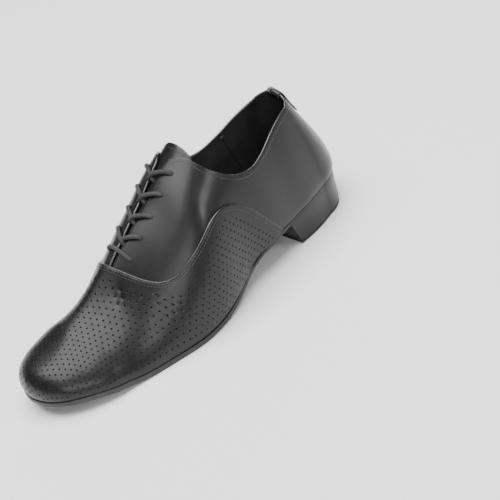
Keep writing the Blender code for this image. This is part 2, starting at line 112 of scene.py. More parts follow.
# Tongue and back strip
TONGUE_HALF = 0.0225
TONGUE_ROUND = 0.12
TONGUE_NARROWS = 0.30
TONGUE_TOP = 0.1150
TONGUE_END = 0.2060
STRIP_WIDTH = 0.0170
STRIP_NARROWS = 0.45
STRIP_LENGTH = 0.0220
STRIP_TURN = 0.0050

# Perforations, on a flat pattern whose half width is the leather's girth at the toe
PATTERN_HALF = 0.0640
HOLE_PITCH = 0.0045
HOLE_ROWS = 0.0039
HOLE_RADIUS = 0.00050
HOLE_RIM = 0.00026
HOLE_DENT = 0.00015
SEAM_MARGIN = 0.0068
FOOT_MARGIN = 0.0024
FILL_MARGIN = 0.0009
HOLE_SIDES = 8
PATTERN_REACH = 0.0750
EDGE_SLACK = 0.0005

# Stitches
STITCH_PITCH = 0.0024
STITCH_LENGTH = 0.0019
STITCH_WIDTH = 0.00042
TOP_STITCHES = 0.0026
SEAM_STITCHES = (0.0013, 0.0031)

LATERAL, MEDIAL = 1, -1


def table(names, *rows):
    """Rows of a short table, as one list for each named column."""
    return {name: [row[i] for row in rows] for i, name in enumerate(names.split())}


# RIBS, RIDGE and PROFILE's rise come from a fit to the photo's outline
RIBS = table(
    "t lateral medial bulge box lean",
    (0.00, 1.00, 1.00, 1.25, 2.55, 1.25),
    (0.33, 0.90, 0.97, 1.20, 2.50, 1.01),
    (0.67, 0.91, 1.00, 1.08, 2.52, 0.79),
    (1.00, 0.97, 1.04, 0.90, 2.58, 0.60),
    (1.12, 1.11, 1.00, 0.76, 2.47, 0.37),
    (1.25, 1.12, 0.81, 0.95, 2.33, 0.02),
    (1.40, 0.93, 0.63, 1.22, 2.20, -0.32),
    (1.55, 1.03, 0.70, 1.05, 2.03, -0.50),
    (1.70, 1.155, 0.865, 0.64, 1.68, -0.35),
    (1.85, 1.09, 0.93, 0.43, 1.42, -0.16),
    (2.00, 1.00, 0.89, 0.25, 1.57, -0.02),
    (2.33, 0.965, 0.93, 0.28, 1.80, 0.00),
    (2.67, 1.01, 0.97, 0.38, 2.25, 0.00),
    (3.00, 1.00, 1.00, 0.45, 2.58, 0.00),
)
PROFILE = table(
    "x rise heel_lift toe_lift",
    (0.00, 0.940, 1.000, 0.00),
    (0.10, 0.905, 0.970, 0.00),
    (0.20, 0.930, 0.903, 0.00),
    (0.30, 0.970, 0.775, 0.00),
    (0.38, 0.958, 0.560, 0.00),
    (0.46, 0.903, 0.260, 0.00),
    (0.54, 0.883, 0.055, 0.00),
    (0.62, 0.932, 0.000, 0.00),
    (0.70, 1.020, 0.000, 0.00),
    (0.78, 1.075, 0.000, 0.06),
    (0.84, 1.015, 0.000, 0.35),
    (0.90, 0.810, 0.000, 0.66),
    (0.96, 0.750, 0.000, 0.90),
    (1.00, 0.830, 0.000, 1.00),
)
RIDGE = table(
    "x y",
    (0.00, -1.55),
    (0.11, -0.36),
    (0.35, -0.06),
    (0.60, -0.16),
    (0.83, -0.95),
    (1.00, -1.37),
)
COLLAR = table(
    "t lateral medial",
    (0.00, 0.995, 0.995),
    (0.20, 0.992, 0.992),
    (0.45, 0.972, 0.974),
    (0.70, 0.935, 0.941),
    (1.00, 0.895, 0.905),
    (1.10, 0.868, 0.880),
    (1.20, 0.792, 0.815),
    (1.28, 0.795, 0.806),
    (1.33, 0.860, 0.878),
)
CLIMB = table(
    "t lateral medial gap",
    (1.28, 1.060, 0.780, 0.0),
    (1.33, 1.020, 0.755, 0.0),
    (1.37, 0.910, 0.680, 0.0),
    (1.41, 0.745, 0.550, 0.0),
    (1.44, 0.400, 0.360, 0.0),
    (1.46, 0.190, 0.190, 0.4),
    (1.475, 0.060, 0.060, 0.9),
    (1.488, 0.012, 0.012, 1.0),
    (1.50, 0.000, 0.000, 1.0),
)
SEAM = table(
    "t w",
    (1.244, 1.000),
    (1.275, 0.942),
    (1.312, 0.858),
    (1.350, 0.767),
    (1.394, 0.683),
    (1.450, 0.608),
    (1.506, 0.572),
    (1.562, 0.564),
    (1.631, 0.552),
    (1.694, 0.533),
    (1.719, 0.508),
    (1.756, 0.425),
    (1.775, 0.342),
    (1.788, 0.250),
    (1.800, 0.120),
    (1.806, 0.000),
)
# Soft creases of the worn-in front: side, rib and w of the middle, half length
# and half width on the leather, how far the crease turns from the shoe's length, and depth
CREASES = table(
    "side t w long wide turn depth",
    (1, 1.846, 0.315, 0.0085, 0.0046, 28, -0.0009),
    (1, 1.905, 0.420, 0.0220, 0.0085, 20, -0.0004),
    (-1, 1.862, 0.320, 0.0100, 0.0050, 25, -0.0007),
    (-1, 1.900, 0.420, 0.0200, 0.0080, 20, -0.0004),
)
# Ribs between which the collar's height gives way to the facing's distance from the crest
FACING_START, FACING_FULL = 1.28, 1.33
# Length of leather for a whole t along the shoe and a whole w down its side
CREASE_SCALE = (TOE_CENTRE - HEEL_CENTRE, 0.0750)


def through(xs, ys, x):
    """Height at x of a smooth curve through the rows."""
    if x <= xs[0]:
        return ys[0]
    if x >= xs[-1]:
        return ys[-1]
    step = [b - a for a, b in zip(xs, xs[1:])]
    rate = [(b - a) / s for a, b, s in zip(ys, ys[1:], step)]
    i = 0
    while x > xs[i + 1]:
        i += 1

    def slope(k):
        if k == 0:
            return rate[0]
        if k == len(rate):
            return rate[-1]
        return (rate[k - 1] * step[k] + rate[k] * step[k - 1]) / (step[k - 1] + step[k])

    u = (x - xs[i]) / step[i]
    v = 1 - u
    return (
        ys[i] * v * v * (1 + 2 * u)
        + ys[i + 1] * u * u * (3 - 2 * u)
        + step[i] * u * v * (slope(i) * v - slope(i + 1) * u)
    )


def ramp(low, high, x):
    """Soft step from 0 at low to 1 at high."""
    u = min(max((x - low) / (high - low), 0.0), 1.0)
    return u * u * (3 - 2 * u)


def shares(count, low=0.0, high=1.0):
    return [low + (high - low) * i / count for i in range(count + 1)]


# The last, with the solids' formulas


def spacing(t):
    if t < 1:
        return t
    return 4.4 * t - 3.4 if t < 2 else 1.4 * t + 2.6


RIB_PLACES = [spacing(value) for value in RIBS["t"]]


@functools.lru_cache(maxsize=200000)
def rib_value(name, t):
    return through(RIB_PLACES, RIBS[name], spacing(t))


def side_name(side):
    return "lateral" if side > 0 else "medial"


@functools.lru_cache(maxsize=200000)
def anchor(t):
    x = HEEL_CENTRE + (TOE_CENTRE - HEEL_CENTRE) * min(max(t - 1, 0.0), 1.0)
    return x, RIDGE_OFFSET * through(RIDGE["x"], RIDGE["y"], x / LAST_LENGTH)


def rib_at(x):
    return 1 + (x - HEEL_CENTRE) / (TOE_CENTRE - HEEL_CENTRE)


def heading(t):
    if t < 1:
        return math.pi / 2 * (2 - t)
    return math.pi / 2 if t < 2 else math.pi / 2 * (3 - t)


@functools.lru_cache(maxsize=200000)
def half_width(x):
    blend = ramp(*WIDENING, x / LAST_LENGTH)
    return (HEEL_WIDTH * (1 - blend) + BALL_WIDTH * blend) / 2


def reach(t):
    return HEEL_CENTRE if t < 1.5 else LAST_LENGTH - TOE_CENTRE


@functools.lru_cache(maxsize=200000)
def bed(x):
    share = x / LAST_LENGTH
    heel = HEEL_LIFT * through(PROFILE["x"], PROFILE["heel_lift"], share)
    toe = TOE_SPRING * through(PROFILE["x"], PROFILE["toe_lift"], share)
    return SOLE_WALL + GAP + max(heel, 0.0) + max(toe, 0.0)


@functools.lru_cache(maxsize=200000)
def rise(x):
    share = x / LAST_LENGTH
    blend = ramp(*INSTEP_FALL, share)
    depth = INSTEP_DEPTH * (1 - blend) + TOE_DEPTH * blend
    return depth * through(PROFILE["x"], PROFILE["rise"], share)


@functools.lru_cache(maxsize=200000)
def outline(t, side, out=0.0):
    centre_x, centre_y = anchor(t)
    angle = heading(t)
    share = rib_value(side_name(side), t)
    x = centre_x + (reach(t) * share + out) * math.cos(angle)
    y = centre_y + side * (half_width(centre_x) * share + out) * math.sin(angle)
    return x, y


def spread(t, side, w):
    box = rib_value("box", t)
    across = math.sin(w * math.pi / 2) ** (2 / box)
    up = max(math.cos(w * math.pi / 2), 0.0) ** (2 / box)
    bulge = WALL_BULGE * rib_value("bulge", t) * math.sin(math.pi * up**BULGE_POWER)
    lean = HEEL_LEAN * rib_value("lean", t) * up * across
    share = rib_value(side_name(side), t) * across + (bulge - lean) / half_width(anchor(t)[0])
    return share, up


def last(t, side, w):
    """Point of the upper's outer face. A negative w is past the crest, on the other side."""
    if w < 0:
        side, w = -side, -w
    centre_x, centre_y = anchor(t)
    angle = heading(t)
    share, up = spread(t, side, w)
    x = centre_x + reach(t) * share * math.cos(angle)
    y = centre_y + side * half_width(centre_x) * share * math.sin(angle)
    foot = bed(outline(t, side)[0])
    return Vector((x, y, foot + (bed(x) + rise(x) - foot) * up))


def last_normal(t, side, w):
    if w < 0:
        side, w = -side, -w
    step = 0.01
    if w < step:
        if t >= 2:
            ahead, behind = (bed(x) + rise(x) for x in (TOE_CENTRE + step, TOE_CENTRE - step))
            return Vector((behind - ahead, 0, 2 * step)).normalized()
        w = step
    along = last(min(t + step, 3.0), side, w) - last(max(t - step, 0.0), side, w)
    down = last(t, side, min(w + step, 1.0)) - last(t, side, w - step)
    normal = along.cross(down) * side
    if w <= step or t in (0.0, 3.0):
        normal.y = 0.0
    normal.z = max(normal.z, 0.0)
    return normal.normalized()


def relief(t, side, w):
    """Depth of the soft creases at a point of the last."""
    if w < 0:
        side, w = -side, -w
    total = 0.0
    for i, own in enumerate(CREASES["side"]):
        if own != side:
            continue
        ahead = (t - CREASES["t"][i]) * CREASE_SCALE[0]
        down = (w - CREASES["w"][i]) * CREASE_SCALE[1]
        turn = math.radians(CREASES["turn"][i])
        along = (ahead * math.cos(turn) + down * math.sin(turn)) / CREASES["long"][i]
        across = (down * math.cos(turn) - ahead * math.sin(turn)) / CREASES["wide"][i]
        if abs(along) < 3 and abs(across) < 3:
            total += CREASES["depth"][i] * math.exp(-along * along - across * across)
    return total


def skin(t, side, w, out):
    return last(t, side, w) + last_normal(t, side, w) * (out + relief(t, side, w))


def solve(value, target):
    low, high = 0.0, 0.98
    for _ in range(26):
        middle = (low + high) / 2
        if value(middle) < target:
            low = middle
        else:
            high = middle
    return low


def w_at_distance(t, side, distance):
    if distance < 0:
        return -w_at_distance(t, -side, -distance)
    half = half_width(anchor(t)[0])
    return solve(lambda w: spread(t, side, w)[0] * half if w < 0.8 else 1.0, distance)


def w_at_height(t, side, height):
    return solve(lambda w: bed(anchor(t)[0]) - last(t, side, w).z, -height)


def facing_edge(t, side):
    blend = (t - rib_at(EYELET_TOP)) / (rib_at(THROAT_END) - rib_at(EYELET_TOP))
    blend = min(max(blend, 0.0), 1.0)
    middle = THROAT_TOP_SIDE * (1 - blend) + THROAT_LOW_SIDE * blend
    return side * middle + (THROAT_TOP_GAP * (1 - blend) + THROAT_LOW_GAP * blend) / 2


@functools.lru_cache(maxsize=20000)
def top_edge(t, side):
    if anchor(t)[0] > THROAT_END or t > 2:
        return 0.0
    collar = through(COLLAR["t"], COLLAR[side_name(side)], t) * COLLAR_DEPTH
    low = w_at_height(t, side, collar) if t < FACING_FULL else 0.0
    if t <= FACING_START:
        return low
    half = half_width(anchor(t)[0])
    distance = through(CLIMB["t"], CLIMB[side_name(side)], t) * half
    distance += through(CLIMB["t"], CLIMB["gap"], t) * facing_edge(t, side)
    high = w_at_distance(t, side, distance)
    blend = ramp(FACING_START, FACING_FULL, t)
    return low * (1 - blend) + high * blend


@functools.lru_cache(maxsize=20000)
def soft_edge(t, side):
    """The upper's top edge with the small waves of its tables smoothed out."""
    width = EDGE_EASE * ramp(*EASE_IN, t) * (1 - ramp(*EASE_OUT, t))
    if width < 0.0005:
        return top_edge(t, side)
    return sum(weight * top_edge(t + width * step, side) for step, weight in EASING) / 16


def seam_edge(t):
    return through(SEAM["t"], SEAM["w"], t) if t < SEAM["t"][-1] else 0.0


def over(x, across, out):
    side = LATERAL if across >= 0 else MEDIAL
    t = rib_at(x)
    return skin(t, side, w_at_distance(t, side, abs(across)), out)


def eyelet_x(row):
    return EYELET_LOW + (EYELET_TOP - EYELET_LOW) * row / (EYELET_ROWS - 1)


def eyelet_across(row, side):
    return side * (facing_edge(rib_at(eyelet_x(row)), side) + EYELET_BACK)


# The shoe's frame to the row's: the heel's back is x 0, the floor is z 0
heel_low, heel_high = (Vector(corner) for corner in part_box("heel_block"))
SHIFT = Vector((heel_low.x, heel_high.y - outline(rib_at(BREAST_TOP), LATERAL)[1], 0.0))


# Materials


def nodes_of(name, base, roughness):
    made = bpy.data.materials.new(name)
    made.use_nodes = True
    shader = made.node_tree.nodes["Principled BSDF"]
    shader.inputs["Base Color"].default_value = (*base, 1.0)
    shader.inputs["Roughness"].default_value = roughness
    place = made.node_tree.nodes.new("ShaderNodeTexCoord").outputs["Object"]
    return made, made.node_tree, shader, place


def noise(tree, place, scale, detail=4.0, rough=0.55):
    made = tree.nodes.new("ShaderNodeTexNoise")
    made.inputs["Scale"].default_value = scale
    made.inputs["Detail"].default_value = detail
    made.inputs["Roughness"].default_value = rough
    tree.links.new(place, made.inputs["Vector"])
    return made.outputs["Fac"]


def cells(tree, place, scale, feature="F1"):
    made = tree.nodes.new("ShaderNodeTexVoronoi")
    made.feature = feature
    made.inputs["Scale"].default_value = scale
    tree.links.new(place, made.inputs["Vector"])
    return made.outputs["Distance"]


def between(tree, value, low, high):
    """Maps a texture's 0 to 1 to a range."""
    made = tree.nodes.new("ShaderNodeMapRange")
    made.inputs["From Min"].default_value = 0.3
    made.inputs["From Max"].default_value = 0.7
    made.inputs["To Min"].default_value = low
    made.inputs["To Max"].default_value = high
    tree.links.new(value, made.inputs["Value"])
    return made.outputs["Result"]


def tint(tree, value, dark, light):
    made = tree.nodes.new("ShaderNodeValToRGB")
    made.color_ramp.elements[0].position = 0.35
    made.color_ramp.elements[0].color = (*dark, 1.0)
    made.color_ramp.elements[1].position = 0.70
    made.color_ramp.elements[1].color = (*light, 1.0)
    tree.links.new(value, made.inputs["Fac"])
    return made.outputs["Color"]


def bump(tree, value, height, before=None):
    made = tree.nodes.new("ShaderNodeBump")
    made.inputs["Strength"].default_value = 1.0
    made.inputs["Distance"].default_value = height
    tree.links.new(value, made.inputs["Height"])
    if before:
        tree.links.new(before, made.inputs["Normal"])
    return made.outputs["Normal"]


def leather(name, base, light, roughness, grain, wrinkle=0.00010, gloss=0.28):
    """Finished leather: fine pebbled grain, faint pull lines and uneven gloss."""
    made, tree, shader, place = nodes_of(name, base, roughness)
    broad = noise(tree, place, 34.0)
    tree.links.new(tint(tree, broad, base, light), shader.inputs["Base Color"])
    tree.links.new(between(tree, noise(tree, place, 160.0), roughness - 0.05, roughness + 0.06),
                   shader.inputs["Roughness"])
    relief_out = bump(tree, cells(tree, place, 1500.0), grain)
    relief_out = bump(tree, noise(tree, place, 3200.0, 2.0), grain * 0.6, relief_out)
    relief_out = bump(tree, noise(tree, place, 90.0), wrinkle, relief_out)
    tree.links.new(relief_out, shader.inputs["Normal"])
    shader.inputs["Specular IOR Level"].default_value = gloss
    shader.inputs["Coat Weight"].default_value = 0.12
    shader.inputs["Coat Roughness"].default_value = 0.20
    return made


def suede(name, base, light):
    """Napped sole leather: short fibres that catch the light in patches."""
    made, tree, shader, place = nodes_of(name, base, 0.95)
    tree.links.new(tint(tree, noise(tree, place, 900.0, 6.0), base, light), shader.inputs["Base Color"])
    relief_out = bump(tree, noise(tree, place, 4200.0, 3.0), 0.00022)
    tree.links.new(bump(tree, noise(tree, place, 300.0), 0.00012, relief_out), shader.inputs["Normal"])
    shader.inputs["Sheen Weight"].default_value = 0.35
    shader.inputs["Sheen Roughness"].default_value = 0.6
    return made


def plain(name, base, light, roughness, scale, height):
    made, tree, shader, place = nodes_of(name, base, roughness)
    tree.links.new(tint(tree, noise(tree, place, 120.0), base, light), shader.inputs["Base Color"])
    tree.links.new(bump(tree, noise(tree, place, scale), height), shader.inputs["Normal"])
    return made


LEATHER = leather("black_leather", (0.0060, 0.0060, 0.0067), (0.0095, 0.0095, 0.0104), 0.34, 0.000035)
PANEL = leather("panel_leather", (0.0062, 0.0062, 0.0069), (0.0100, 0.0100, 0.0109), 0.36, 0.000035)
# Folded edges: the same black leather with a real higher gloss, but a base colour twice as light, as a
# painted highlight along the folds
EDGE = leather(
    "folded_edge_painted_highlight", (0.0120, 0.0120, 0.0130), (0.0180, 0.0180, 0.0192), 0.26, 0.000010, 0.00002, 0.70
)
COVER = leather("heel_cover", (0.0065, 0.0065, 0.0072), (0.0100, 0.0100, 0.0108), 0.33, 0.000025)
LINING = plain("lining", (0.0200, 0.0200, 0.0212), (0.0300, 0.0300, 0.0316), 0.66, 1800.0, 0.00003)
SUEDE = suede("suede", (0.0100, 0.0100, 0.0108), (0.0360, 0.0360, 0.0380))
TRIM = plain("sole_edge", (0.0130, 0.0130, 0.0140), (0.0240, 0.0240, 0.0255), 0.50, 1500.0, 0.00008)
RUBBER = plain("heel_rubber", (0.0090, 0.0090, 0.0092), (0.0140, 0.0140, 0.0143), 0.62, 2400.0, 0.00006)
CORD = plain("cord", (0.0240, 0.0240, 0.0255), (0.0420, 0.0420, 0.0440), 0.80, 5200.0, 0.00010)
HOLE = plain("hole_shade", (0.0012, 0.0012, 0.0013), (0.0022, 0.0022, 0.0024), 0.95, 2000.0, 0.00002)
THREAD = plain("thread", (0.0300, 0.0300, 0.0315), (0.0650, 0.0650, 0.0680), 0.55, 6000.0, 0.00004)


# Mesh building


class Shape:
    """Collects points and faces, in the shoe's own frame, and makes them a piece."""

    def __init__(self):
        self.points = []
        self.faces = []
        self.looks = []

    def add(self, points):
        start = len(self.points)
        self.points += [Vector(point) for point in points]
        return list(range(start, len(self.points)))

    def face(self, corners, look=0):
        if len(set(corners)) > 2:
            self.faces.append(tuple(corners))
            self.looks.append(look)

    def grid(self, rows, look=0, closed=False):
        index = [self.add(row) for row in rows]
        for low, high in zip(index, index[1:]):
            if closed:
                low, high = low + low[:1], high + high[:1]
            for i in range(len(low) - 1):
                self.face((low[i], low[i + 1], high[i + 1], high[i]), look)
        return index

    def tube(self, rings):
        """Closed rings with a face over each end."""
        index = self.grid(rings, closed=True)
        self.face(index[0])
        self.face(index[-1])

    def piece(self, name, looks, slot, replaced=(), outward=None, weld=0.00001, angle=50):
        mesh = bpy.data.meshes.new(name)
        mesh.from_pydata([tuple(point + SHIFT) for point in self.points], [], self.faces)
        for face, look in zip(mesh.polygons, self.looks):
            face.material_index = look
        shape = bmesh.new()
        shape.from_mesh(mesh)
        bmesh.ops.remove_doubles(shape, verts=shape.verts, dist=weld)
        bmesh.ops.recalc_face_normals(shape, faces=shape.faces)
        if outward:
            face = max(shape.faces, key=lambda f: f.calc_center_median().dot(Vector(outward)))
            if face.normal.dot(Vector(outward)) < 0:
                bmesh.ops.reverse_faces(shape, faces=shape.faces)
        shape.to_mesh(mesh)
        shape.free()
        mesh.shade_smooth()
        mesh.set_sharp_from_angle(angle=math.radians(angle))
        made = bpy.data.objects.new(name, mesh)
        bpy.context.scene.collection.objects.link(made)
        for look in looks:
            mesh.materials.append(look)
        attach(made, "root")
        if replaced:
            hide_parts(*replaced)
        return made


def level_row(left, right, steps, z):
    rows = [Vector((*left, 0)).lerp(Vector((*right, 0)), s) for s in shares(steps)]
    return [Vector((point.x, point.y, z(point.x))) for point in rows]


def tangents(points):
    """Unit directions along a line of points."""
    ends = points[:1] + points + points[-1:]
    return [(b - a).normalized() for a, b in zip(ends, ends[2:])]


def even(points, step):
    """Points at even steps along a line of points."""
    lengths = [0.0]
    for a, b in zip(points, points[1:]):
        lengths.append(lengths[-1] + (b - a).length)
    count = max(int(round(lengths[-1] / step)), 1)
    found = []
    i = 0
    for k in range(count + 1):
        goal = lengths[-1] * k / count
        while i < len(points) - 2 and lengths[i + 1] < goal:
            i += 1
        span = max(lengths[i + 1] - lengths[i], 1e-9)
        found.append(points[i].lerp(points[i + 1], (goal - lengths[i]) / span))
    return found


def smooth_line(points, steps):
    """Smooth curve through a few chosen points."""
    ends = [points[0] * 2 - points[1]] + points + [points[-1] * 2 - points[-2]]
    found = []
    for a, b, c, d in zip(ends, ends[1:], ends[2:], ends[3:]):
        for s in shares(steps)[:-1]:
            found.append((b * 2 + (c - a) * s + (a * 2 - b * 5 + c * 4 - d) * s * s
                          + (b * 3 - a - c * 3 + d) * s**3) / 2)
    return found + [points[-1]]


def border(rows):
    """Points round the outside of a grid, in order."""
    right = [row[-1] for row in rows[1:]]
    left = [row[0] for row in rows[-2:0:-1]]
    return rows[0] + right + rows[-1][-2::-1] + left


def tree_of(piece):
    """Nearest-face lookup of a piece, in the shoe's own frame."""
    corners = [vertex.co - SHIFT for vertex in piece.data.vertices]
    return BVHTree.FromPolygons(corners, [tuple(face.vertices) for face in piece.data.polygons])


# Stitches


def stitch_line(shape, line, tree, pitch=STITCH_PITCH, length=STITCH_LENGTH, width=STITCH_WIDTH):
    """A run of single stitches, each a small rounded bar sunk in the leather at its ends."""
    places = even(line, pitch)
    for place, along in zip(places, tangents(places)):
        found, normal = tree.find_nearest(place)[:2]
        if (found - place).dot(normal) > 0 and (found - place).length > 0.004:
            continue
        along = (along - normal * along.dot(normal)).normalized()
        across = normal.cross(along)
        rings = []
        for s in shares(4, -1.0, 1.0):
            middle = found + along * (length / 2 * s) + normal * (width * 0.30 * (1 - s * s) - width * 0.10)
            radius = width / 2 * math.sqrt(max(1 - 0.8 * s * s, 0.0))
            rings.append([middle + (across * math.cos(a) + normal * math.sin(a)) * radius
                          for a in shares(6, 0.0, 2 * math.pi)[:-1]])
        shape.tube(rings)


# Upper


def upper_ts():
    throat = rib_at(THROAT_END)
    ts = shares(40, 0.0, 1.0)[:-1] + shares(24, 1.0, FACING_START)[:-1]
    ts += shares(66, FACING_START, 1.50)[:-1]
    return ts + shares(70, 1.50, throat) + shares(14, throat + 0.004, 2.0)[:-1] + shares(36, 2.0, 3.0)


def edge_frame(t, side, w):
    """Point, outward and upward direction at the upper's top edge."""
    outward = last_normal(t, side, w)
    step = 0.01
    up = last(t, side, w - step) - last(t, side, w + step) if abs(w) > step else Vector((0, -side, 0))
    up = (up - outward * up.dot(outward)).normalized()
    return skin(t, side, w, 0.0), outward, up


ROLL = UPPER_WALL / 2 + 0.00015


def make_upper():
    """Outer leather, rolled top edge and lining, as one closed shell with punched lace holes."""
    shape = Shape()
    throat = rib_at(THROAT_END)
    for side in (LATERAL, MEDIAL):
        outer, inner, roll, rim = [], [], [], []
        for t in upper_ts():
            top = soft_edge(t, side)
            places = shares(44, top, 1.0)
            outer.append([skin(t, side, w, 0.0) for w in places])
            inner.append([skin(t, side, w, -UPPER_WALL) for w in places])
            rim.append([outer[-1][-1], inner[-1][-1]])
            if t <= throat:
                point, outward, up = edge_frame(t, side, top)
                middle = point - outward * (UPPER_WALL / 2)
                roll.append([middle + outward * math.cos(a) * (UPPER_WALL / 2) + up * math.sin(a) * ROLL
                             for a in shares(8, 0.0, math.pi)])
        shape.grid(outer, 0)
        shape.grid(roll, 1)
        shape.grid(inner, 2)
        shape.grid(rim, 2)
    upper = shape.piece("upper_leather", [LEATHER, EDGE, LINING], "leather", ["upper"], (0, 1, 0))
    tree = tree_of(upper)
    punch(upper)
    return tree


def punch(upper):
    """Cuts the lace holes through the facings."""
    cutter = bmesh.new()
    for row in range(EYELET_ROWS):
        for side in (LATERAL, MEDIAL):
            across = eyelet_across(row, side)
            low = over(eyelet_x(row), across, -2 * UPPER_WALL) + SHIFT
            high = over(eyelet_x(row), across, 2 * UPPER_WALL) + SHIFT
            turn = (high - low).to_track_quat("Z", "Y").to_matrix().to_4x4()
            turn.translation = (low + high) / 2
            bmesh.ops.create_cone(cutter, cap_ends=True, segments=24, radius1=EYELET_HOLE / 2,
                                  radius2=EYELET_HOLE / 2, depth=(high - low).length, matrix=turn)
    mesh = bpy.data.meshes.new("punches")
    cutter.to_mesh(mesh)
    cutter.free()
    punches = bpy.data.objects.new("punches", mesh)
    bpy.context.scene.collection.objects.link(punches)
    cut = upper.modifiers.new("holes", "BOOLEAN")
    cut.operation = "DIFFERENCE"
    cut.object = punches
    bpy.context.view_layer.update()
    seen = upper.evaluated_get(bpy.context.evaluated_depsgraph_get())
    done = bpy.data.meshes.new_from_object(seen)
    upper.modifiers.clear()
    upper.data = done
    bpy.data.objects.remove(punches)


def edge_line(side, below):
    """Line that runs along a collar and facing edge, a distance below it."""
    line = []
    for t in upper_ts():
        if t > SEAM["t"][-1] - 0.012:
            break
        line.append(edge_frame(t, side, soft_edge(t, side))[:2])
    places = [item[0] for item in line]
    found = []
    for (point, outward), along in zip(line, tangents(places)):
        away = outward.cross(along) * side
        found.append(point + away.normalized() * below)
    return found


# Seam down the inside of the lining: rib and w at its top and its foot
LINING_SEAM = ((1.173, 0.671), (1.123, 0.925))


def make_lining_seam():
    """Joined edge of two lining pieces on the inner side, with a bar tack at its top."""
    (top_t, top_w), (low_t, low_w) = LINING_SEAM
    line = [skin(top_t + (low_t - top_t) * s, MEDIAL, top_w + (low_w - top_w) * s, -UPPER_WALL - 0.0001)
            for s in shares(40)]
    shape = Shape()
    rings = []
    for place, along in zip(line, tangents(line)):
        inward = -last_normal(top_t, MEDIAL, top_w)
        across = along.cross(inward).normalized()
        inward = across.cross(along)
        rings.append([place + across * math.cos(a) * 0.0007 + inward * math.sin(a) * 0.0005
                      for a in shares(10, 0.0, 2 * math.pi)[:-1]])
    shape.tube(rings)
    shape.piece("lining_seam", [LINING], "lining")
    tack = Shape()
    middle = line[0]
    across = (line[1] - line[0]).normalized().cross(last_normal(top_t, MEDIAL, top_w))
    rings = []
    for s in shares(6, -1.0, 1.0):
        radius = 0.00055 * math.sqrt(max(1 - 0.85 * s * s, 0.0))
        place = middle + across * s * 0.0016 - last_normal(top_t, MEDIAL, top_w) * 0.0003
        along = (line[1] - line[0]).normalized()
        side = along.cross(across).normalized()
        rings.append([place + (along * math.cos(a) + side * math.sin(a)) * radius
                      for a in shares(8, 0.0, 2 * math.pi)[:-1]])
    tack.tube(rings)
    tack.piece("lining_tack", [THREAD], "cord")


# Front panel


def girth_table(side):
    """Distance down each rib from the crest, for a fan of ribs."""
    ts = shares(150, SEAM["t"][0] - 0.02, 3.0)
    ws = shares(48)
    rows = []
    for t in ts:
        points = [last(t, side, w) for w in ws]
        run = [0.0]
        for a, b in zip(points, points[1:]):
            run.append(run[-1] + (b - a).length)
        rows.append(run)
    return np.array(ts), np.array(ws), np.array(rows)


GIRTHS = {side: girth_table(side) for side in (LATERAL, MEDIAL)}


def girth_row(t, ts):
    """Row of the table below a rib, and the rib's share of the way to the next."""
    place = np.interp(t, ts, np.arange(len(ts)))
    low = min(int(place), len(ts) - 2)
    return low, place - low


def girth(t, side, w=1.0):
    ts, ws, runs = GIRTHS[side]
    low, blend = girth_row(t, ts)
    return float((1 - blend) * np.interp(w, ws, runs[low]) + blend * np.interp(w, ws, runs[low + 1]))


def w_at_girth(t, side, distance):
    ts, ws, runs = GIRTHS[side]
    low, blend = girth_row(t, ts)
    run = (1 - blend) * runs[low] + blend * runs[low + 1]
    return float(np.interp(distance, run, ws))


def crest_share(t):
    """How far the pattern hangs from the crest, 1, and not from the sole's edge, 0."""
    return ramp(1.60, 1.80, t)


def pattern_at(t, side, w):
    """Place on the flat pattern of a point of the last."""
    whole = girth(t, side)
    share = crest_share(t)
    left = 1 - girth(t, side, w) / whole
    across = PATTERN_HALF - left * ((1 - share) * whole + share * PATTERN_HALF)
    if t <= 2:
        return Vector((anchor(t)[0], side * across))
    angle = heading(t)
    return Vector((TOE_CENTRE + across * math.cos(angle), side * across * math.sin(angle)))


def last_at(place):
    """Rib, side and w of a place on the flat pattern."""
    side = LATERAL if place.y >= 0 else MEDIAL
    if place.x <= TOE_CENTRE:
        t, across = rib_at(place.x), abs(place.y)
    else:
        out = Vector((place.x - TOE_CENTRE, abs(place.y)))
        across = out.length
        t = 3 - math.atan2(out.y, out.x) / (math.pi / 2)
    whole = girth(t, side)
    share = crest_share(t)
    left = (PATTERN_HALF - across) / ((1 - share) * whole + share * PATTERN_HALF)
    return t, side, w_at_girth(t, side, (1 - left) * whole)


PANEL_OUT = CURVED_GAP + VAMP_WALL
PANEL_FOOT = 0.992


def panel_boundary():
    """Closed line round the panel on the flat pattern: both seams, then the foot of each side."""
    start, end = SEAM["t"][0] + 0.004, SEAM["t"][-1]
    seam_ts = [start + (end - start) * (1 - (1 - s) ** 1.6) for s in shares(120)]
    foot_ts = shares(150, start, 3.0)
    lateral = [(t, LATERAL, min(seam_edge(t), PANEL_FOOT)) for t in seam_ts]
    medial = [(t, MEDIAL, min(seam_edge(t), PANEL_FOOT)) for t in reversed(seam_ts[:-1])]
    foot = [(t, MEDIAL, PANEL_FOOT) for t in foot_ts[1:]]
    foot += [(t, LATERAL, PANEL_FOOT) for t in reversed(foot_ts[1:-1])]
    return lateral + medial, foot


def in_panel(t, side, w):
    below_seam = t >= SEAM["t"][-1] or w > seam_edge(t) - EDGE_SLACK
    return SEAM["t"][0] < t and w < PANEL_FOOT + EDGE_SLACK and below_seam


def clear_of(place, line):
    return float(np.min(np.hypot(line[:, 0] - place.x, line[:, 1] - place.y)))


